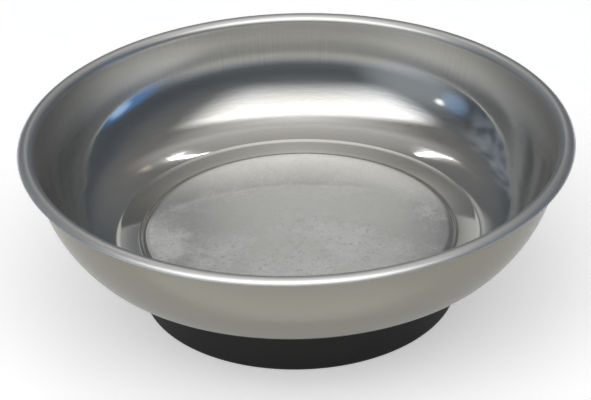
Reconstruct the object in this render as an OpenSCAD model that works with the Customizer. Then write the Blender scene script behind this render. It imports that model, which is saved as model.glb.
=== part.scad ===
// Round magnetic parts tray: a pressed stainless dish with a rolled rim and a raised floor,
// standing on a rubber-covered cup magnet. Millimetres, +Z up, origin at the middle of the
// face it stands on. Every piece is a body of revolution about Z, apart from the nut.

/* [Dish] */
// Outside diameter over the rolled rim
rim_d = 150; // [140:1:185]
// Height of the rim's crest above the table
tray_h = 47.5; // [40:0.5:70]
// Thickness of the stainless sheet
sheet_t = 0.6; // [0.4:0.1:1]
// Outside radius of the rolled rim in section
curl_r = 2.4; // [1.6:0.1:3.2]
// Where the roll stops, in degrees above the level of its centre
curl_stop = 26; // [0:2:50]
// Width of the flat ledge round the raised floor
ledge_w = 4.9; // [3:0.1:9]
// Outside radius of the lower corner, where the ledge turns up into the wall
corner_r = 18; // [8:0.5:20]
// How much of the wall's mean slope the lower corner takes up
corner_lift = 0.95; // [0.75:0.05:1]

/* [Raised floor] */
// How far the floor stands above the ledge
step_h = 0.7; // [0.4:0.1:1.4]
// Width of the soft slope between ledge and floor
step_w = 2.2; // [1.6:0.1:3]

/* [Magnet] */
// Outside diameter of the ferrite ring
magnet_d = 72; // [60:1:80]
// Bore of the ferrite ring
magnet_bore_d = 32; // [28:1:44]
// Thickness of the ferrite ring
magnet_t = 12; // [9:0.5:16]
// Chamfer on the ring's edges
magnet_chamfer = 0.8; // [0.3:0.1:1.5]

/* [Cup] */
// Sheet thickness of the drawn steel cup behind the magnet
cup_t = 2; // [1:0.1:2.5]
// Width of the ring-shaped gap between magnet and cup
cup_gap = 2.6; // [1.5:0.1:4]
// Inside radius of the bend between the cup's back and its side
cup_bend_r = 1.2; // [0.6:0.1:2]

/* [Rubber boot] */
// Thickness of the boot under the magnet
boot_floor_t = 3.4; // [1.5:0.1:5]
// Thickness of the boot's side wall at the top
boot_wall = 2.8; // [1.5:0.1:5]
// How much narrower the boot is at the table, on the radius
boot_draft = 0.3; // [0:0.1:1]
// Radius of the boot's lower edge
boot_edge_r = 1.2; // [0.5:0.1:2]
// Radius of the boot's upper edge
boot_top_r = 0.6; // [0.2:0.1:1]
// Width of the flat ring that the boot stands on
foot_w = 12; // [6:0.5:20]
// Depth of the relief inside that ring
foot_relief = 0.4; // [0.2:0.1:1]

/* [Fixing] */
// Diameter of the stud welded under the floor
stud_d = 6; // [4:1:8]
// Diameter of the stud's welding flange
flange_d = 16; // [12:1:20]
// Thickness of the stud's welding flange
flange_t = 1; // [0.6:0.1:1.5]
// Outside diameter of the wide washer that clamps the cup
washer_d = 28; // [24:1:30]
// Thickness of the wide washer
washer_t = 1.5; // [1:0.1:2]
// Outside diameter of the spring washer
spring_d = 11.8; // [10:0.1:14]
// Thickness of the spring washer's wire
spring_t = 1.6; // [1:0.1:2]
// Split in the spring washer, in degrees
spring_split = 14; // [8:1:24]
// Width of the nut across its flats
nut_af = 10; // [8:0.5:13]
// Height of the nut
nut_h = 5; // [3:0.1:6.5]
// How far the stud stands out of the nut
stud_proud = 1.2; // [0.6:0.1:2]

/* [Clearances] */
// Rubber to the metal or magnet beside it
soft_gap = 0.2; // [0.1:0.05:0.4]
// Spacer ring to the magnet and to the cup
spacer_gap = 0.1; // [0.05:0.05:0.3]
// Washers and nut round the stud, on the radius
stud_gap = 0.2; // [0.1:0.05:0.4]
// Cup's centre hole round the stud's flange, on the radius
flange_gap = 0.4; // [0.2:0.1:0.8]
// Step of the raised floor outside the boot, on the radius
nest_gap = 0.2; // [0.1:0.1:1]

/* [Hidden] */
$fn = 96;

// Radii from the magnet outwards
magnet_r = magnet_d/2;
cup_in_r = magnet_r + cup_gap;
cup_r = cup_in_r + cup_t;
shoulder_r = cup_bend_r + cup_t;
spacer_h = magnet_t - cup_bend_r - spacer_gap;
boot_in_r = cup_r + soft_gap;
boot_r = boot_in_r + boot_wall;
step_foot_r = boot_r + nest_gap;
ledge_r = step_foot_r + ledge_w;

// Heights from the table upwards
magnet_z = boot_floor_t + soft_gap;
cup_back_z = magnet_z + magnet_t;
floor_under_z = cup_back_z + cup_t;
ledge_under_z = floor_under_z - step_h;
boot_top_z = ledge_under_z - soft_gap;

// Wall of the dish, outside face: a corner arc leaves the ledge level and runs into a side
// arc, and that one runs into the inner face of the rim's curl, each tangent to the next
curl_c = [rim_d/2 - curl_r*cos(curl_stop), tray_h - curl_r];
curl_in_r = curl_r - sheet_t;
wall_run = curl_c[0] - curl_in_r - ledge_r;
wall_rise = curl_c[1] - ledge_under_z;
corner = min(corner_r, 0.85*wall_run, 0.85*wall_rise);
corner_c = [ledge_r, ledge_under_z + corner];
corner_turn = corner_lift*atan2(wall_rise, wall_run);
inward = [-sin(corner_turn), cos(corner_turn)];
corner_end = corner_c - corner*inward;
to_curl = corner_end - curl_c;
side_r = (to_curl*to_curl - curl_in_r*curl_in_r)/(2*(curl_in_r - to_curl*inward));
side_c = corner_end + side_r*inward;
side_end = atan2(curl_c[1] - side_c[1], curl_c[0] - side_c[0]);

// Seams of the section
seam_t = 0.005;
seam_lap = 0.05;

// Soft step: two equal arcs, one bent each way, make a slope step_w wide and step_h high
step_turn = 2*atan(step_h/step_w);
step_mid_r = step_w/(2*sin(step_turn));
step_top_r = step_foot_r - step_w;

// Fixing, from the cup's back downwards
washer_z = cup_back_z - washer_t;
spring_z = washer_z - spring_t;
nut_z = spring_z - nut_h;
stud_end_z = nut_z - stud_proud;
stud_chamfer = stud_d/8;
hole_r = stud_d/2 + stud_gap;

// Pie slice that opens by an angle from the X axis, and reaches past a circle of radius r
module slice(turn, r) {
    steps = ceil(turn/60);
    polygon([[0, 0], for (i = [0:steps]) 2*r*[cos(turn*i/steps), sin(turn*i/steps)]]);
}

// Bent stretch of sheet about c, from angle a to angle b, with the radius of its middle.
// A stretch with a seam is a hair thicker and longer, so that it fuses with the next ones.
module bent(c, mid_r, a, b, seam = false) {
    t = sheet_t/2 + (seam ? seam_t : 0);
    more = seam ? atan(seam_lap/mid_r) : 0;
    translate(c) rotate(a - more) intersection() {
        difference() {
            circle(mid_r + t);
            circle(mid_r - t);
        }
        slice(b - a + 2*more, mid_r + t);
    }
}

// Flat ring between two radii, t thick, standing on height z
module ring(r_in, r_out, z, t) {
    translate([0, 0, z]) difference() {
        cylinder(r = r_out, h = t);
        translate([0, 0, -t]) cylinder(r = r_in, h = 3*t);
    }
}

// Section of the dish's sheet, from the middle of the floor to the rolled edge
module dish_section() {
    half = sheet_t/2;
    translate([0, floor_under_z]) square([step_top_r, sheet_t]);
    bent([step_top_r, floor_under_z + half - step_mid_r], step_mid_r, 90 - step_turn, 90, true);
    bent([step_foot_r, ledge_under_z + half + step_mid_r], step_mid_r, 270 - step_turn, 270);
    translate([step_foot_r - seam_lap, ledge_under_z - seam_t])
        square([ledge_w + 2*seam_lap, sheet_t + 2*seam_t]);
    bent(corner_c, corner - half, 270, 270 + corner_turn);
    bent(side_c, side_r - half, 270 + corner_turn, 360 + side_end, true);
    bent(curl_c, curl_r - half, curl_stop, 180 + side_end);
}

// Outline of the cup, grown by d all round, from height z up
module cup_outline(d, z) {
    flat_r = cup_r - shoulder_r;
    shoulder_z = floor_under_z - shoulder_r;
    translate([0, z]) square([cup_r + d, shoulder_z - z]);
    translate([0, shoulder_z]) square([flat_r, shoulder_r + d]);
    translate([flat_r, shoulder_z]) intersection() {
        circle(shoulder_r + d);
        square(shoulder_r + d);
    }
}

// Inside of the cup, down past its mouth
module cup_hollow() {
    translate([0, magnet_z - cup_t]) square([cup_in_r, magnet_t + cup_t - cup_bend_r]);
    translate([0, cup_back_z - cup_bend_r]) square([cup_in_r - cup_bend_r, cup_bend_r]);
    translate([cup_in_r - cup_bend_r, cup_back_z - cup_bend_r]) intersection() {
        circle(cup_bend_r);
        square(cup_bend_r);
    }
}

// Outline of the boot: drafted side, rounded lower and upper edge
module boot_outline() {
    low_r = boot_r - boot_draft;
    top_z = boot_top_z - boot_top_r;
    square([low_r - boot_edge_r, boot_top_z]);
    translate([0, boot_edge_r]) polygon([
        [0, 0], [low_r, 0], [boot_r, top_z - boot_edge_r], [0, top_z - boot_edge_r]]);
    translate([0, boot_edge_r]) square([boot_r - boot_top_r, boot_top_z - boot_edge_r]);
    translate([low_r - boot_edge_r, boot_edge_r]) circle(boot_edge_r);
    translate([boot_r - boot_top_r, top_z]) circle(boot_top_r);
}

module bowl() {
    color([0.62, 0.62, 0.6]) rotate_extrude() dish_section();
}

// Stud with a thin flange, welded to the underside of the floor
module weld_stud() {
    color([0.75, 0.74, 0.7]) {
        translate([0, 0, floor_under_z - flange_t]) cylinder(d = flange_d, h = flange_t);
        translate([0, 0, stud_end_z + stud_chamfer])
            cylinder(d = stud_d, h = floor_under_z - flange_t - stud_end_z - stud_chamfer);
        translate([0, 0, stud_end_z])
            cylinder(d1 = stud_d - 2*stud_chamfer, d2 = stud_d, h = stud_chamfer);
    }
}

// Drawn steel cup, open downwards, with a hole that clears the stud's flange
module magnet_cup() {
    color([0.72, 0.72, 0.7]) difference() {
        rotate_extrude() difference() {
            cup_outline(0, magnet_z);
            cup_hollow();
        }
        translate([0, 0, cup_back_z - cup_t]) cylinder(r = flange_d/2 + flange_gap, h = 3*cup_t);
    }
}

// Ferrite ring, chamfered on its outer edges
module ring_magnet() {
    c = magnet_chamfer;
    color([0.2, 0.2, 0.21]) difference() {
        translate([0, 0, magnet_z]) union() {
            cylinder(r1 = magnet_r - c, r2 = magnet_r, h = c);
            translate([0, 0, c]) cylinder(r = magnet_r, h = magnet_t - 2*c);
            translate([0, 0, magnet_t - c]) cylinder(r1 = magnet_r, r2 = magnet_r - c, h = c);
        }
        translate([0, 0, magnet_z - 1]) cylinder(d = magnet_bore_d, h = magnet_t + 2);
    }
}

// Moulded ring that keeps the magnet central in the cup
module spacer_ring() {
    color([0.85, 0.84, 0.8])
        ring(magnet_r + spacer_gap, cup_in_r - spacer_gap, magnet_z, spacer_h);
}

// Wide washer across the cup's hole
module clamp_washer() {
    color([0.75, 0.74, 0.7]) ring(hole_r, washer_d/2, washer_z, washer_t);
}

// Spring washer, split and pressed flat
module spring_washer() {
    color([0.55, 0.55, 0.55]) difference() {
        ring(hole_r, spring_d/2, spring_z, spring_t);
        translate([0, 0, spring_z - spring_t]) linear_extrude(3*spring_t)
            slice(spring_split, spring_d/2);
    }
}

// Hexagon nut, its corners turned off above and below
module lock_nut() {
    corner_nut_r = nut_af/sqrt(3);
    bevel = (corner_nut_r - nut_af/2)*tan(30);
    color([0.75, 0.74, 0.7]) difference() {
        translate([0, 0, nut_z]) intersection() {
            cylinder(r = corner_nut_r, h = nut_h, $fn = 6);
            union() {
                cylinder(r1 = nut_af/2, r2 = corner_nut_r, h = bevel);
                translate([0, 0, bevel]) cylinder(r = corner_nut_r, h = nut_h - 2*bevel);
                translate([0, 0, nut_h - bevel])
                    cylinder(r1 = corner_nut_r, r2 = nut_af/2, h = bevel);
            }
        }
        translate([0, 0, nut_z - 1]) cylinder(r = hole_r, h = nut_h + 2);
    }
}

// Rubber boot: floor, side and a lip that hooks over the cup's shoulder
module rubber_boot() {
    color([0.13, 0.13, 0.13]) rotate_extrude() difference() {
        boot_outline();
        cup_outline(soft_gap, boot_floor_t);
        translate([0, -1]) square([boot_r - boot_draft - foot_w, 1 + foot_relief]);
    }
}

bowl();
weld_stud();
magnet_cup();
ring_magnet();
spacer_ring();
clamp_washer();
spring_washer();
lock_nut();
rubber_boot();
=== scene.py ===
# %% [markdown]
# # A magnetic parts tray
# A parts tray holds the screws of a repair. It is a pressed stainless dish on a black rubber foot
# with a ring magnet inside. The CAD pack brings nine solids in metres, and this script dresses
# them: a finer dish, five finishes, a camera and a small studio.

# %% Load the CAD frame
import math

import bmesh
import bpy
from mathutils import Euler, Matrix, Vector


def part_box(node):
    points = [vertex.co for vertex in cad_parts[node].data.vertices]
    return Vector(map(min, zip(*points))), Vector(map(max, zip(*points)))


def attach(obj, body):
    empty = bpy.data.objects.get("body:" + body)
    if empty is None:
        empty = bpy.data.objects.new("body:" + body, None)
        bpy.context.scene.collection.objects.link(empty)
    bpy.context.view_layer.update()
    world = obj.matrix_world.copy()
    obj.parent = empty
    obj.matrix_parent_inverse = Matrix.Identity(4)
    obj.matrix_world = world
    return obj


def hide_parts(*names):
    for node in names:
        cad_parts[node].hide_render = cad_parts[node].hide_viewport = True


MM = 0.001
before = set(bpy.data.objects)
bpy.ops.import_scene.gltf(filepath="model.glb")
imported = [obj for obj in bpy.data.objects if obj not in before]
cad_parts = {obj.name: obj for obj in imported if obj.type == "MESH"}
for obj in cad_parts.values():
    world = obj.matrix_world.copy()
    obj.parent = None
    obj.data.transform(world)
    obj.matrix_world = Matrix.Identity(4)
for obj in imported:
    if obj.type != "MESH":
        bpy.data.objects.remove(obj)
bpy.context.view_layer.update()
print("CAD nodes:", ", ".join(sorted(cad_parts)))

# %% [markdown]
# The camera was fitted to the ellipses of the rim, the step and the foot. The tray is round, so
# the camera may stand on the -Y side. It looks 30 degrees down, from close to 0.8 m away,
# with a long lens, and it leans by a degree and a half. The numbers say where the tray's own
# origin lies as the camera sees it, and the camera's place follows from that.

# %% Camera
PHOTO_WIDTH = 591
FOCAL_PX = 2800
SENSOR_MM = 36
LOOK_DOWN = math.radians(30.171)
LEAN = math.radians(-1.5505)
TRAY_SEEN_AT = Vector((1.22, -23.471, -776.58))*MM


def make_camera():
    lens = bpy.data.cameras.new("tray_camera")
    lens.sensor_fit = "HORIZONTAL"
    lens.sensor_width = SENSOR_MM
    lens.lens = SENSOR_MM*FOCAL_PX/PHOTO_WIDTH
    camera = bpy.data.objects.new("tray_camera", lens)
    bpy.context.scene.collection.objects.link(camera)
    turn = Euler((math.pi/2 - LOOK_DOWN, 0, 0)).to_matrix() @ Matrix.Rotation(LEAN, 3, "Z")
    camera.matrix_world = Matrix.Translation(-(turn @ TRAY_SEEN_AT)) @ turn.to_4x4()
    return camera


scene = bpy.context.scene
scene.camera = make_camera()
scene.view_settings.view_transform = "Standard"
print("camera at", [round(c, 3) for c in scene.camera.matrix_world.translation])

# %% [markdown]
# A finish is a tree of nodes, and a tree is easier to read as sums. The small class below wraps
# a socket, so that `depth*grain + 0.2` adds its own Math nodes. Any other node comes from the
# method `node`, which takes the node's type, its settings and the values or links of its sockets.

# %% Sockets as numbers
class Wire:
    def __init__(self, finish, socket):
        self.finish = finish
        self.socket = socket

    def math(self, operation, *others):
        sockets = dict(enumerate((self, *others)))
        return self.finish.node("Math", {"operation": operation}, sockets)

    def __add__(self, other):
        return self.math("ADD", other)

    def __mul__(self, other):
        return self.math("MULTIPLY", other)

    def __sub__(self, other):
        return self.math("SUBTRACT", other)

    def __rsub__(self, other):
        return self*-1 + other

    def __truediv__(self, other):
        return self.math("DIVIDE", other)

    def __pow__(self, other):
        return self.math("POWER", other)

    __radd__ = __add__
    __rmul__ = __mul__

    def ramp(self, low, high, start=0, end=1):
        """Rises smoothly from start to end while this value goes from low to high."""
        sockets = {"Value": self, "From Min": low, "From Max": high, "To Min": start, "To Max": end}
        return self.finish.node("MapRange", {"interpolation_type": "SMOOTHSTEP"}, sockets)


class Finish:
    def __init__(self, name):
        self.material = bpy.data.materials.new(name)
        self.material.use_nodes = True
        self.tree = self.material.node_tree
        self.tree.nodes.clear()

    def node(self, kind, settings=None, sockets=None, out=0):
        made = self.tree.nodes.new("ShaderNode" + kind)
        for key, value in (settings or {}).items():
            setattr(made, key, value)
        for key, value in (sockets or {}).items():
            socket = self.pick(made.inputs, key)
            if isinstance(value, Wire):
                self.tree.links.new(value.socket, socket)
            else:
                socket.default_value = value
        return Wire(self, self.pick(made.outputs, out)) if made.outputs else None

    def pick(self, sockets, key):
        """The socket in use that has this name or number."""
        usable = [s for s in sockets if s.enabled]
        return usable[key] if isinstance(key, int) else {s.name: s for s in usable}[key]

    def mix(self, factor, a, b, blend="MIX"):
        """A colour between a and b."""
        settings = {"data_type": "RGBA", "blend_type": blend}
        sockets = {"Factor": factor, "A": a, "B": b}
        return self.node("Mix", settings, sockets)

    def vector(self, x, y, z):
        return self.node("CombineXYZ", None, {"X": x, "Y": y, "Z": z})

    def noise(self, at, scale, detail=2.0, rough=0.5):
        sockets = {"Vector": at, "Scale": scale, "Detail": detail, "Roughness": rough}
        return self.node("TexNoise", None, sockets, "Fac")

    def bump(self, height):
        """A normal from a height in metres."""
        return self.node("Bump", None, {"Strength": 1.0, "Distance": 1.0, "Height": height})

    def show(self, shader):
        self.node("OutputMaterial", None, {"Surface": shader})
        return self.material


def grey(level, warm=0.0):
    """A grey with a touch of yellow where warm is above nought."""
    return (level*(1 + 0.3*warm), level, level*(1 - warm), 1)


print("helpers ready: Wire, Finish")

# %% [markdown]
# The dish is one sheet of stainless, 0.6 mm thick, pressed and then rolled at the rim. Its CAD
# mesh is made of long thin triangles, and bright metal shows each of them. So the section is
# drawn again here from the frame's own boxes, as arcs that meet on a tangent. These are its
# measures, and the last seven follow from the boxes.

# %% Measures of the dish
SHEET = 0.6*MM
CURL = 2.4*MM
CURL_STOP = 26
CORNER = 18*MM
CORNER_LIFT = 0.95
STEP_H = 0.7*MM
STEP_W = 2.2*MM
LEDGE_W = 4.9*MM
NEST_GAP = 0.2*MM

rim_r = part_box("bowl")[1].x
rim_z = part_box("bowl")[1].z
floor_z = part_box("weld_stud")[1].z + SHEET
ledge_z = floor_z - STEP_H
step_foot_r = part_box("rubber_boot")[1].x + NEST_GAP
step_top_r = step_foot_r - STEP_W
ledge_r = step_foot_r + LEDGE_W
print("floor of the dish at", round(floor_z/MM, 1), "mm, its step ends at", round(step_foot_r/MM, 1), "mm")

# %% [markdown]
# Where the wall meets the ledge, the photo's glints are thin: the sheet turns quickly there and
# then climbs almost straight before the wide corner. The press leaves such a bend, and the ledge
# tilts a little with it. A chain of arcs draws this. Its last radius and the ledge's length are
# the two unknowns, and they follow from where the chain has to end.

# %% Foot of the wall
LEDGE_TILT = math.radians(2)
# Each bend has a radius and the angle at which the sheet climbs where the bend ends.
BENDS = ((12*MM, math.radians(14)), (80*MM, math.radians(17)))


def down(angle):
    """The direction from an arc's centre to the point where the sheet climbs at this angle."""
    return Vector((math.sin(angle), -math.cos(angle)))


def shares(a, b, total):
    """The factors of a and b that add up to total."""
    area = a.cross(b)
    return total.cross(b)/area, a.cross(total)/area


def corner_chain(start, end, turn):
    """The arcs from the ledge's start to the corner's end: centre, radius and two angles each."""
    angles = [LEDGE_TILT, *(angle for _, angle in BENDS), turn]
    gap = end - start
    for (radius, angle), before in zip(BENDS, angles):
        gap -= radius*(down(angle) - down(before))
    along = Vector((math.cos(LEDGE_TILT), math.sin(LEDGE_TILT)))
    ledge, last_r = shares(along, down(turn) - down(angles[-2]), gap)
    print("ledge", round(ledge/MM, 2), "mm long, last radius", round(last_r/MM, 2), "mm")
    at = start + ledge*along
    chain = []
    for radius, before, angle in zip([*(r for r, _ in BENDS), last_r], angles, angles[1:]):
        centre = at - radius*down(before)
        chain.append((centre, radius, 270 + math.degrees(before), 270 + math.degrees(angle)))
        at = centre + radius*down(angle)
    return chain


print("bends at the foot of the wall:", [round(radius/MM, 1) for radius, _ in BENDS], "mm")

# %% [markdown]
# The whole section runs from the middle of the floor over the step, the ledge, the corner and the
# side into the open curl of the rim. A Bezier curve could draw it by eye. Arcs are used instead,
# because the upper and the under face can share their centres, and the sheet then keeps its
# thickness all the way.

# %% Section of the dish
FLOOR_RINGS = 12
POINT_GAP = 0.35*MM
FINE_GAP = 0.15*MM


def arc(centre, radius, start, end, gap=POINT_GAP):
    """Points on an arc from one angle to the other, in degrees, about gap apart."""
    count = max(8, math.ceil(radius*math.radians(abs(end - start))/gap))
    angles = [math.radians(start + (end - start)*i/count) for i in range(count + 1)]
    return [centre + radius*Vector((math.cos(a), math.sin(a))) for a in angles]


def dish_section():
    """The upper and the under face of the sheet, each from the middle of the floor outwards."""
    curl_c = Vector((rim_r - CURL*math.cos(math.radians(CURL_STOP)), rim_z - CURL))
    curl_in = CURL - SHEET
    corner_c = Vector((ledge_r, ledge_z - SHEET + CORNER))
    slope = math.atan2(curl_c.y - ledge_z + SHEET, curl_c.x - curl_in - ledge_r)
    turn = CORNER_LIFT*slope
    inward = -down(turn)
    corner_end = corner_c - CORNER*inward
    to_curl = corner_end - curl_c
    side_r = (to_curl.dot(to_curl) - curl_in**2)/(2*(curl_in - to_curl.dot(inward)))
    side_c = corner_end + side_r*inward
    low = 270 + math.degrees(turn)
    top = math.degrees(math.atan2(curl_c.y - side_c.y, curl_c.x - side_c.x))
    step_turn = 2*math.degrees(math.atan(STEP_H/STEP_W))
    step_r = STEP_W/(2*math.sin(math.radians(step_turn)))
    crest_c = Vector((step_top_r, floor_z - SHEET/2 - step_r))
    foot_c = Vector((step_foot_r, ledge_z - SHEET/2 + step_r))
    tilt = 270 + math.degrees(LEDGE_TILT)
    foot_end = foot_c + (step_r + SHEET/2)*down(LEDGE_TILT)
    corners = corner_chain(foot_end, corner_end, turn)

    def face(side):
        """side is 1 on the upper face and -1 on the under face."""
        half = side*SHEET/2
        level = floor_z - SHEET/2 + half
        points = [Vector((step_top_r*i/FLOOR_RINGS, level)) for i in range(FLOOR_RINGS)]
        points += arc(crest_c, step_r + half, 90, 90 - step_turn, FINE_GAP)
        points += arc(foot_c, step_r - half, 270 - step_turn, tilt, FINE_GAP)[1:]
        for i, (centre, radius, before, angle) in enumerate(corners):
            points += arc(centre, radius - SHEET/2 - half, before, angle)[min(i, 1):]
        points += arc(side_c, side_r - SHEET/2 - half, low, 360 + top)[1:]
        points += arc(curl_c, CURL - SHEET/2 + half, 180 + top, CURL_STOP, FINE_GAP)[1:]
        return points

    return face(1), face(-1)


upper_face, under_face = dish_section()
print("section of the dish:", len(upper_face), "points above,", len(under_face), "below")

# %% [markdown]
# A dish is round, so a lathe turns its section into a body. Blender's Screw modifier could do
# that too, but a loop of our own can give each vertex two values: `run`, the way along the sheet
# from the middle of the floor, and `inside`, which is 1 on the face that holds the parts. The
# finishes change with both. The rings share their vertices, so the surface shades smoothly, and
# only the cut edge of the sheet is marked sharp.

# %% Turn the dish
TURNS = 288
ON_AXIS = 1e-6


def make_body(name, shape):
    """An object in the scene from a bmesh."""
    mesh = bpy.data.meshes.new(name)
    shape.to_mesh(mesh)
    shape.free()
    body = bpy.data.objects.new(name, mesh)
    bpy.context.scene.collection.objects.link(body)
    return body


def bridge(shape, a, b, count):
    """Faces between two rings of vertices. A ring of one vertex gives triangles."""
    for k in range(count):
        corners = [a[k % len(a)], a[(k + 1) % len(a)], b[(k + 1) % len(b)], b[k % len(b)]]
        shape.faces.new(list(dict.fromkeys(corners)))


def face_rings(shape, points, side, layers):
    """A ring of vertices for each point of a face, with their run and side."""
    run_layer, side_layer = layers
    rings = []
    run = 0.0
    for before, point in zip([points[0], *points], points):
        run += (point - before).length
        ring = []
        for k in range(TURNS if point.x > ON_AXIS else 1):
            angle = 2*math.pi*k/TURNS
            at = (point.x*math.cos(angle), point.x*math.sin(angle), point.y)
            vertex = shape.verts.new(at)
            vertex[run_layer] = run
            vertex[side_layer] = side
            ring.append(vertex)
        rings.append(ring)
    return rings


def lathe(name, above, below):
    """A closed body of revolution from its upper and under face."""
    shape = bmesh.new()
    run_layer = shape.verts.layers.float.new("run")
    side_layer = shape.verts.layers.float.new("inside")
    upper = face_rings(shape, above, 1.0, (run_layer, side_layer))
    under = face_rings(shape, below, 0.0, (run_layer, side_layer))
    loop = upper + under[::-1]
    for a, b in zip(loop, loop[1:]):
        bridge(shape, a, b, TURNS)
    for face in shape.faces:
        face.smooth = True
    for ring in (upper[-1], under[-1]):
        for k in range(TURNS):
            shape.edges.get((ring[k], ring[(k + 1) % TURNS])).smooth = False
    bmesh.ops.recalc_face_normals(shape, faces=shape.faces)
    return make_body(name, shape)


dish = lathe("dish", upper_face, under_face)
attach(dish, "root")
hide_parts("bowl")
print("dish:", len(dish.data.polygons), "faces")

# %% [markdown]
# Years of screws leave their marks on the floor of the dish: hazy patches where the polish is
# worn off, pits in those patches, and fine scratches every way. They could be painted as an
# image, but noise needs no unwrapping and stays sharp from near by. A scratch is the place where
# a noise crosses its mean, and it becomes a line when the noise is drawn out one way.

# %% Marks on the floor
# The middle and the reach of each worn patch, in mm.
WORN = ((-38, -1, 13), (-35, -9, 9), (-20, -13, 13), (-2, -20, 20), (14, -8, 19), (4, -2, 15))
# The angle of each set of scratches in degrees, how many lie on a metre, and a seed.
SCRATCHES = ((20, 900.0, 1.0), (75, 700.0, 4.0), (128, 1100.0, 7.0), (95, 800.0, 9.0))
SCRATCH_STRETCH = 0.04
SCRATCH_WIDTH = 0.012


def scratches(fin, x, y, angle, fine, seed):
    """Thin lines that run one way."""
    turn = math.radians(angle)
    along = x*math.cos(turn) + y*math.sin(turn)
    across = y*math.cos(turn) - x*math.sin(turn)
    drawn = fin.noise(fin.vector(along*fine*SCRATCH_STRETCH, across*fine, seed), 1.0, 1.0)
    return (drawn - 0.5).math("ABSOLUTE").ramp(0.0, SCRATCH_WIDTH, 1, 0)


def spot(x, y, place_x, place_y, reach):
    """1 in the middle of a round patch, falling to 0 at its edge. Sizes are in mm."""
    dx, dy = x - place_x*MM, y - place_y*MM
    return ((dx*dx + dy*dy)**0.5).ramp(0.0, reach*MM, 1, 0)


def floor_marks(fin, place, x, y, speck):
    """How far each point is hazed, pitted and scratched, were it on the floor."""
    worn = spot(x, y, *WORN[0])
    for patch in WORN[1:]:
        worn = worn.math("MAXIMUM", spot(x, y, *patch))
    lines = scratches(fin, x, y, *SCRATCHES[0])
    for angle, fine, seed in SCRATCHES[1:]:
        lines = lines + scratches(fin, x, y, angle, fine, seed)
    cloud = fin.noise(place, 60.0, 6.0, 0.65)
    haze = (cloud*1.2 + worn*0.3 + (speck - 0.5)*0.3).ramp(0.55, 1.0)
    pits = fin.noise(place, 1300.0, 1.0).ramp(0.64, 0.7)*worn.ramp(0.1, 0.5)
    return haze, pits, lines


print("marks:", len(WORN), "worn patches,", len(SCRATCHES), "sets of scratches")

# %% [markdown]
# The rest of the sheet isn't one finish either. Under the rim the inner wall still has the
# upright hairlines of its polish. Lower down it is brighter, with fine rings from the press, and
# the rim is worn pale by hands. Each mark is a height of some micrometres, and a share between
# two reflections: a sharp one and a rubbed one. Two lobes look more like used metal than one
# middling roughness, because the sharp image stays and a soft veil lies over it.

# %% Stainless
# Where each zone rises or fades, as the way along the sheet from the middle of the floor.
FLOOR_FADES = (40.5*MM, 42*MM)
BELT_RISES = (52*MM, 56*MM)
BELT_FADES = (64*MM, 76*MM)
WALL_RISES = (72*MM, 82*MM)
RIM_RISES = (88*MM, 90*MM)
# Heights in metres.
HAIR_DEPTH = 1.8e-5
RING_DEPTH = 2e-5
SPECK_DEPTH = 3e-6
LINE_DEPTH = 0.8e-6
PIT_DEPTH = 4e-6
DENT_DEPTH = 1.5e-4


def stainless():
    fin = Finish("stainless_sheet")
    place = fin.node("TexCoord", None, None, "Object")
    run = fin.node("Attribute", {"attribute_name": "run"}, None, "Fac")
    inside = fin.node("Attribute", {"attribute_name": "inside"}, None, "Fac")
    x = fin.node("SeparateXYZ", None, {"Vector": place}, "X")
    y = fin.node("SeparateXYZ", None, {"Vector": place}, "Y")
    radius = ((x*x + y*y)**0.5).math("MAXIMUM", 1*MM)
    across, up = x/radius, y/radius

    wall = run.ramp(*WALL_RISES)*inside
    rim = run.ramp(*RIM_RISES)*inside
    floor = run.ramp(*FLOOR_FADES, 1, 0)*inside
    belt = run.ramp(*BELT_RISES)*run.ramp(*BELT_FADES, 1, 0)*inside
    hair = fin.noise(fin.vector(across*150, up*150, run*60), 1.0, 3.0, 0.7)
    hair = (hair - 0.5)*fin.noise(place, 40.0, 2.0).ramp(0.35, 0.7)*(1 - rim)
    rings = fin.noise(fin.vector(across*9, up*9, run*900), 1.0, 4.0, 0.7)
    speck = fin.noise(place, 900.0, 2.0, 0.6)
    haze, pits, lines = (mark*floor for mark in floor_marks(fin, place, x, y, speck))

    height = hair*wall*HAIR_DEPTH + (rings - 0.5)*belt*RING_DEPTH
    height = height + (speck - 0.5)*haze*SPECK_DEPTH - lines*LINE_DEPTH - pits*PIT_DEPTH
    height = height + (fin.noise(place, 30.0, 1.0) - 0.5)*DENT_DEPTH
    bent = fin.bump(height)
    tone = fin.mix(haze*0.6 + floor*0.4, grey(0.6, 0.03), grey(0.88))
    tone = fin.mix(pits*0.35, tone, grey(0.2))
    tone = fin.mix(rim*0.6, tone, grey(0.88))
    # Painted shade: the outside face gets a darker, warmer tone than the inside. It stands for the shaded
    # olive table that the outside mirrors, though both faces are the same metal.
    tone = fin.mix(inside, grey(0.27, 0.14), tone)
    bright = fin.node("BsdfPrincipled", None, {
        "Base Color": tone, "Metallic": 1.0, "Normal": bent,
        "Roughness": 0.05 + belt*0.06 + wall*0.15})
    rubbed = fin.node("BsdfPrincipled", None, {
        "Base Color": tone, "Metallic": 1.0, "Normal": bent,
        "Roughness": 0.42 + floor*0.07 + haze*0.15})
    wear = 0.08 + floor*0.46 + haze*0.4 + lines*0.1
    wear = wear + wall*(0.58 + hair*0.5 + rim*0.12) + belt*(rings - 0.5)*0.6
    wear = wear + (1 - inside)*0.34
    return fin.show(fin.node("MixShader", None, {0: wear, 1: bright, 2: rubbed}))


dish.data.materials.append(stainless())
print("stainless on", dish.name)

# %% [markdown]
# The foot is moulded rubber: nearly black, dull, with a fine skin and a little dust. It could be
# drawn again as the dish was, but a dull surface doesn't show its triangles, so the CAD solid
# stays and only takes a material. The dust is a paler tone, and it also takes off the gloss.

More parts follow.
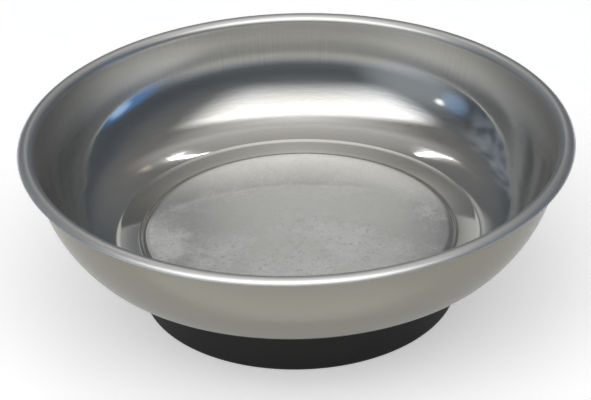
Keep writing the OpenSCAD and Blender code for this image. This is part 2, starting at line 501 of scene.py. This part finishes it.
# %% Rubber
def rubber():
    fin = Finish("boot_rubber")
    place = fin.node("TexCoord", None, None, "Object")
    skin = fin.noise(place, 1400.0, 2.0, 0.6)
    dust = fin.noise(place, 60.0, 4.0, 0.6).ramp(0.55, 0.8)
    tone = fin.mix(dust*0.35, grey(0.016, 0.05), grey(0.045, 0.1))
    shader = fin.node("BsdfPrincipled", None, {
        "Base Color": tone, "Roughness": 0.55 + dust*0.2, "Specular IOR Level": 0.3,
        "Normal": fin.bump((skin - 0.5)*1e-5)})
    return fin.show(shader)


def dress(node, material):
    """Gives a CAD node one material in all of its slots."""
    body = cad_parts[node]
    body.data.materials.clear()
    body.data.materials.append(material)
    print(node, "takes", material.name)


dress("rubber_boot", rubber())

# %% [markdown]
# The pieces inside are seen only when the tray is taken apart: zinc plated steel, sintered
# ferrite and natural nylon. Each could have a tree of its own, but they differ only in numbers.
# So one helper makes all three: a noise drives the tone, the gloss and the height, since spangle,
# grain and flow marks of the real materials show in these.

# %% Inner finishes
def grained(name, grain, tones, gloss, depth, metal=0.0):
    """A finish that follows one noise. gloss is the least roughness and how much is added."""
    fin = Finish(name)
    place = fin.node("TexCoord", None, None, "Object")
    noise = fin.noise(place, *grain)
    least, spread = gloss
    shader = fin.node("BsdfPrincipled", None, {
        "Base Color": fin.mix(noise, *tones), "Metallic": metal,
        "Roughness": least + noise*spread,
        "Normal": fin.bump((noise - 0.5)*depth)})
    return fin.show(shader)


zinc_tones = (grey(0.5, 0.02), grey(0.68, 0.05))
ferrite_tones = (grey(0.035, 0.0), grey(0.075, 0.04))
nylon_tones = ((0.7, 0.68, 0.6, 1), (0.78, 0.76, 0.7, 1))
zinc = grained("zinc_plate", (700.0, 3.0, 0.6), zinc_tones, (0.3, 0.2), 4e-6, 1.0)
ferrite = grained("sintered_ferrite", (2200.0, 3.0, 0.7), ferrite_tones, (0.55, 0.25), 2e-5)
nylon = grained("natural_nylon", (90.0, 2.0, 0.5), nylon_tones, (0.4, 0.15), 1e-5)
for piece in ("weld_stud", "magnet_cup", "clamp_washer", "spring_washer", "lock_nut"):
    dress(piece, zinc)
dress("ring_magnet", ferrite)
dress("spacer_ring", nylon)

# %% [markdown]
# The floor is white paint. More light could make it white, but would bleach the tray as well. So
# the camera and the metal see a glow on it through Light Path, and it keeps the tray's shadow.
# In the metal it is also slightly glossy, so the outside of the dish shows some of the room in it.

# %% Floor
FLOOR_R = 12.0
FLOOR_GLOW = 0.46
FLOOR_POLISH = 0.15


def disc(name, radius, count=96):
    shape = bmesh.new()
    ring = []
    for k in range(count):
        angle = 2*math.pi*k/count
        ring.append(shape.verts.new((radius*math.cos(angle), radius*math.sin(angle), 0)))
    shape.faces.new(ring)
    body = make_body(name, shape)
    return body


def floor_paint():
    fin = Finish("floor_paint")
    mirrored = fin.node("LightPath", None, None, "Is Glossy Ray")
    seen = mirrored + fin.node("LightPath", None, None, "Is Camera Ray")
    paint = fin.node("BsdfPrincipled", None, {
        "Base Color": grey(0.9), "Roughness": 0.5, "Emission Strength": 1.0,
        "Emission Color": fin.mix(seen, grey(0.0), grey(FLOOR_GLOW))})
    polish = fin.node("BsdfGlossy", None, {"Color": grey(0.9), "Roughness": 0.04})
    return fin.show(fin.node("MixShader", None, {0: mirrored*FLOOR_POLISH, 1: paint, 2: polish}))


floor = disc("floor", FLOOR_R)
floor.data.materials.append(floor_paint())
print("stage:", floor.name)

# %% [markdown]
# Bright metal is a picture of what stands round it. A white floor alone would make the tray look
# like paper, so a grey tent stands over the table, and the camera sees through it. A picture of a
# real room could do this, but a cloth written in nodes needs no file. It glows: a wide window over
# the camera's side, a pale roof, and a warm skirting in front. Window and roof are written in `u`
# and `v`, the place where a direction meets a flat ceiling, because straight edges stay straight
# there. Soft ovals add what the sides of the dish mirror.

# %% Tent
TENT_R = 2.6
TENT_DROP = 5*MM
# How bright each part of the cloth glows, where 1 is white paper.
CLOTH = 0.1
ROOF = 0.95
ROOF_EDGE = 0.1
WINDOW = 1.9
SKIRTING = 0.75
FOLDS = 0.22
COOL = (0.84, 1.0, 1.2, 1)
# Each glow has the azimuth and lift of its middle, its reach sideways and up, and its light.
GLOWS = (
    (-8, 8, 25, 9, (0.03, 0.2, 0.55)),
    (-3, 10, 9, 4, (0.4, 0.5, 0.6)),
    (-148, 18, 32, 20, (0.26, 0.28, 0.3)),
    (-171, 19, 10, 9, (0.08, 0.18, 0.34)),
    (-164, 24, 3, 2.5, (1.8, 1.8, 1.7)),
    (89.5, 31, 3.8, 8, (0.56, 0.55, 0.51)),
    (98, 31, 4.2, 8, (0.4, 0.39, 0.37)),
    (90, 62, 36, 16, (0.3, 0.29, 0.28)))


def toward(azimuth, lift):
    """The direction from the tray, in degrees round from +X and up from the table."""
    a, e = math.radians(azimuth), math.radians(lift)
    return Vector((math.cos(a)*math.cos(e), math.sin(a)*math.cos(e), math.sin(e)))


def tent_cloth():
    fin = Finish("tent_cloth")
    place = fin.node("TexCoord", None, None, "Object")
    way = fin.node("VectorMath", {"operation": "NORMALIZE"}, {0: place})
    x, y, z = (fin.node("SeparateXYZ", None, {"Vector": way}, axis) for axis in "XYZ")

    def share(direction):
        """How far the cloth lies towards a direction."""
        sockets = {0: way, 1: direction}
        return fin.node("VectorMath", {"operation": "DOT_PRODUCT"}, sockets, "Value")

    def oval(azimuth, lift, wide, high):
        """1 in the middle of a soft oval that reaches wide and high degrees from its middle."""
        side = share(toward(azimuth + 90, 0))/math.sin(math.radians(wide))
        over = share(toward(azimuth, lift + 90))/math.sin(math.radians(high))
        facing = share(toward(azimuth, lift)).ramp(0.0, 0.1)
        return (side*side + over*over).ramp(0.0, 1.0, 1, 0)*facing

    flat = z.math("MAXIMUM", 0.02)
    u, v = x/flat, y/flat
    aside = (u*u + v*v)**0.5
    window = v.ramp(-1.62, -0.35)*v.ramp(-0.35, -0.02, 1, 0)
    window = window*u.ramp(-1.5, -0.8)*u.ramp(0.35, 1.05, 1, 0)
    skirting = y.ramp(-0.9, -0.2, 1, 0)*z.ramp(0.1, 0.3, 1, 0)
    level = CLOTH + aside.ramp(-0.3, 0.8, ROOF, 0) + aside.ramp(0.8, 2.5, ROOF_EDGE, 0)
    level = level + window*WINDOW + skirting*SKIRTING
    level = level + oval(148, 22, 36, 18)*fin.noise(way, 8.0, 3.0).ramp(0.42, 0.58)*FOLDS
    tint = fin.mix(z.ramp(0.2, 0.8), COOL, grey(1.0, 0.02))
    tint = fin.mix(skirting, tint, grey(1.0, 0.14))
    cloth = fin.node("VectorMath", {"operation": "SCALE"}, {0: tint, "Scale": level})
    for azimuth, lift, wide, high, colour in GLOWS:
        cloth = fin.mix(oval(azimuth, lift, wide, high), cloth, (*colour, 1), "ADD")
    return fin.show(fin.node("Emission", None, {"Color": cloth}))


def tent(rings=16, count=48):
    shape = bmesh.new()
    rows = []
    for i in range(rings + 1):
        lift = math.pi/2*i/rings
        flat = TENT_R*math.cos(lift)
        row = []
        for k in range(count if i < rings else 1):
            angle = 2*math.pi*k/count
            at = (flat*math.cos(angle), flat*math.sin(angle), TENT_R*math.sin(lift) - TENT_DROP)
            row.append(shape.verts.new(at))
        rows.append(row)
    for a, b in zip(rows, rows[1:]):
        bridge(shape, a, b, count)
    body = make_body("tent", shape)
    body.visible_camera = False
    return body


grey_tent = tent()
grey_tent.data.materials.append(tent_cloth())
world = bpy.data.worlds.new("studio")
world.use_nodes = True
world.node_tree.nodes["Background"].inputs["Color"].default_value = (1, 1, 1, 1)
scene.world = world
print("stage:", grey_tent.name, "with", len(GLOWS), "glows")

# %% [markdown]
# Three thin lamps behind the tray make the glints at the foot of its wall: a tube, a shorter tube
# and a small warm bulb. They could be drawn on the tent, but Blender aims rays at a lamp, so a
# small bright one gives less noise. They are too small to light the table.

# %% Lamps
TRAY_MIDDLE = Vector((0, 0, 0.03))
LAMP_FAR = 1.6


def panel(name, way, size, glow, tint=(1, 1, 1)):
    """A soft panel that faces the tray and looks glow times as bright as white paper."""
    lamp = bpy.data.lights.new(name, "AREA")
    lamp.shape = "RECTANGLE"
    lamp.size, lamp.size_y = size
    lamp.energy = glow*math.pi*size[0]*size[1]
    lamp.color = tint
    body = bpy.data.objects.new(name, lamp)
    body.visible_camera = False
    bpy.context.scene.collection.objects.link(body)
    place = TRAY_MIDDLE + way*LAMP_FAR
    body.matrix_world = Matrix.Translation(place) @ way.to_track_quat("Z", "Y").to_matrix().to_4x4()


panel("tube", toward(110, 48.7), (0.24, 0.012), 20.0)
panel("short_tube", toward(77.5, 50), (0.12, 0.012), 20.0)
panel("bulb", toward(71.5, 46.5), (0.05, 0.02), 3.0, (1, 0.85, 0.6))
